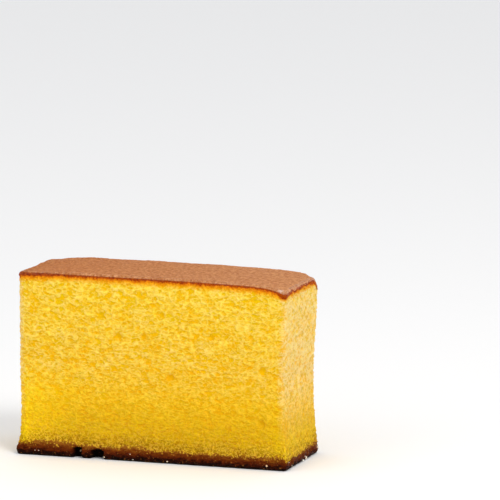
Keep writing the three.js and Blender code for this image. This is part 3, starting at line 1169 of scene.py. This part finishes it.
def sugar_finish():
    """Coarse sugar: hard, clear to milky crystals with a bright gloss, tinged by the syrup."""
    material = new_material("coarse_sugar_crystal")
    tree = material.node_tree
    place = add(tree, "ShaderNodeTexCoord", out="Object")
    clouded = add(tree, "ShaderNodeTexNoise", {"Vector": place, "Scale": 1 / (2 * MM), "Detail": 2.0})
    colour = add(
        tree, "ShaderNodeValToRGB", {"Fac": clouded}, stops=((0.35, "#e2b27c"), (0.65, "#fff4e4"))
    )
    shader = add(
        tree,
        "ShaderNodeBsdfPrincipled",
        {
            "Base Color": colour,
            "Roughness": 0.18,
            "IOR": 1.54,
            "Subsurface Weight": 0.3,
            "Subsurface Radius": (1.0, 0.8, 0.6),
            "Subsurface Scale": 0.4 * MM,
        },
    )
    return finish_with(material, shader)


def loose_crumb_finish():
    """Loose crumbs: some pale yellow from inside the slice, some baked brown with the crust."""
    material = new_material("baked_crumb")
    tree = material.node_tree
    place = add(tree, "ShaderNodeTexCoord", out="Object")
    baked = swell(tree, place, size=1.8 * MM, detail=3.0, roughness=0.5, strength=4.0)
    height = add(tree, "ShaderNodeSeparateXYZ", {0: place}, out=2)
    baked = add(tree, "ShaderNodeMath", {0: height, 1: 1 / MM, 2: baked}, operation="MULTIPLY_ADD")
    baked = add(tree, "ShaderNodeMath", {0: baked, 1: 0.2}, operation="MULTIPLY")
    colour = add(
        tree,
        "ShaderNodeValToRGB",
        {"Fac": baked},
        stops=((0.2, "#2c0a02"), (0.45, "#6e3406"), (0.65, "#a87016"), (0.85, "#d8a828")),
    )
    torn = swell(tree, place, size=0.5 * MM, detail=4.0, roughness=0.7, strength=1.0)
    bump = add(tree, "ShaderNodeBump", {"Height": torn, "Strength": 1.0, "Distance": 0.4 * MM})
    shader = add(
        tree,
        "ShaderNodeBsdfPrincipled",
        {
            "Base Color": colour,
            "Roughness": 0.8,
            "Specular IOR Level": 0.2,
            "Normal": bump,
        },
    )
    return finish_with(material, shader)


SKIN, CRUST = 1, 2  # the slots of these two finishes, after the crumb's
CUT_EDGE = HEIGHT - 0.6 * MM  # below this the skin is its cut edge


def dress(cake):
    """Gives each face the finish that covers the most of it; the skin's cut edge is crust too."""
    cake.data.materials.clear()
    for finish in (crumb_finish, skin_finish, crust_finish):
        cake.data.materials.append(finish())
    count = len(cake.data.vertices)
    places = [0.0] * (3 * count)
    cake.data.attributes["block"].data.foreach_get("vector", places)
    shares = {}
    for name in ("skin", "crust"):
        shares[name] = [0.0] * count
        cake.data.attributes[name].data.foreach_get("value", shares[name])
    for face in cake.data.polygons:
        for slot, name in ((SKIN, "skin"), (CRUST, "crust")):
            if sum(shares[name][i] for i in face.vertices) > 0.5 * len(face.vertices):
                face.material_index = slot
        if face.material_index == SKIN and max(places[3 * i + 2] for i in face.vertices) < CUT_EDGE:
            face.material_index = CRUST


# ---- Stage ----------------------------------------------------------------------------


def floor():
    bpy.ops.object.select_all(action="DESELECT")
    bpy.ops.mesh.primitive_plane_add(size=30, location=(0, 0, 0))
    ground = bpy.context.object
    ground.name = "floor"
    material = new_material("pale_matte_floor")
    tree = material.node_tree
    shader = add(tree, "ShaderNodeBsdfPrincipled", {"Base Color": srgb("#fcfdff"), "Roughness": 0.9})
    ground.data.materials.append(finish_with(material, shader))


def area_light(name, azimuth, elevation, distance, size, power, colour):
    """A soft light that looks at the slice's middle."""
    data = bpy.data.lights.new(name, "AREA")
    data.size = size
    data.energy = power
    data.color = srgb(colour)[:3]
    lamp = bpy.data.objects.new(name, data)
    bpy.context.scene.collection.objects.link(lamp)
    az, el = math.radians(azimuth), math.radians(elevation)
    way = Vector((math.sin(az) * math.cos(el), -math.cos(az) * math.cos(el), math.sin(el)))
    lamp.location = way * distance + Vector((0, 0, HALF.z))
    lamp.rotation_euler = (-way).to_track_quat("-Z", "Y").to_euler()


def light_stage():
    world = bpy.data.worlds.new("studio")
    world.use_nodes = True
    world.node_tree.nodes["Background"].inputs["Color"].default_value = (1, 1, 1, 1)
    world.node_tree.nodes["Background"].inputs["Strength"].default_value = 0.75
    bpy.context.scene.world = world
    area_light("key", azimuth=50, elevation=45, distance=1.3, size=0.5, power=7.3, colour="#fffaf2")
    area_light("fill", azimuth=-35, elevation=30, distance=1.6, size=1.2, power=3, colour="#ffffff")
    bpy.context.scene.view_settings.view_transform = "Standard"


def camera():
    level = math.cos(VIEW_ELEVATION)
    forward = Vector(
        (
            -level * math.sin(VIEW_AZIMUTH),
            level * math.cos(VIEW_AZIMUTH),
            -math.sin(VIEW_ELEVATION),
        )
    )
    data = bpy.data.cameras.new("view")
    data.lens = LENS
    data.sensor_width = SENSOR
    data.clip_end = 100
    eye = bpy.data.objects.new("view", data)
    bpy.context.scene.collection.objects.link(eye)
    eye.location = VIEW_CENTRE - forward * VIEW_DISTANCE
    turn = forward.to_track_quat("-Z", "Y").to_matrix().to_4x4()
    eye.rotation_euler = (turn @ Matrix.Rotation(VIEW_ROLL, 4, "Z")).to_euler()
    bpy.context.scene.camera = eye


# ---- Making ---------------------------------------------------------------------------

cake = cut_block()
unfold(cake)
mark_block(cake)
simplify_underside(cake)
settle(cake)
press_holes(cake)
roughen(cake)
dress(cake)
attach(cake, "root")
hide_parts("castella_slice")

bpy.context.view_layer.update()
for piece, finish in ((coarse_sugar(cake), sugar_finish()), (loose_crumbs(cake), loose_crumb_finish())):
    piece.data.materials.clear()
    piece.data.materials.append(finish)
    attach(piece, "root")

floor()
light_stage()
camera()
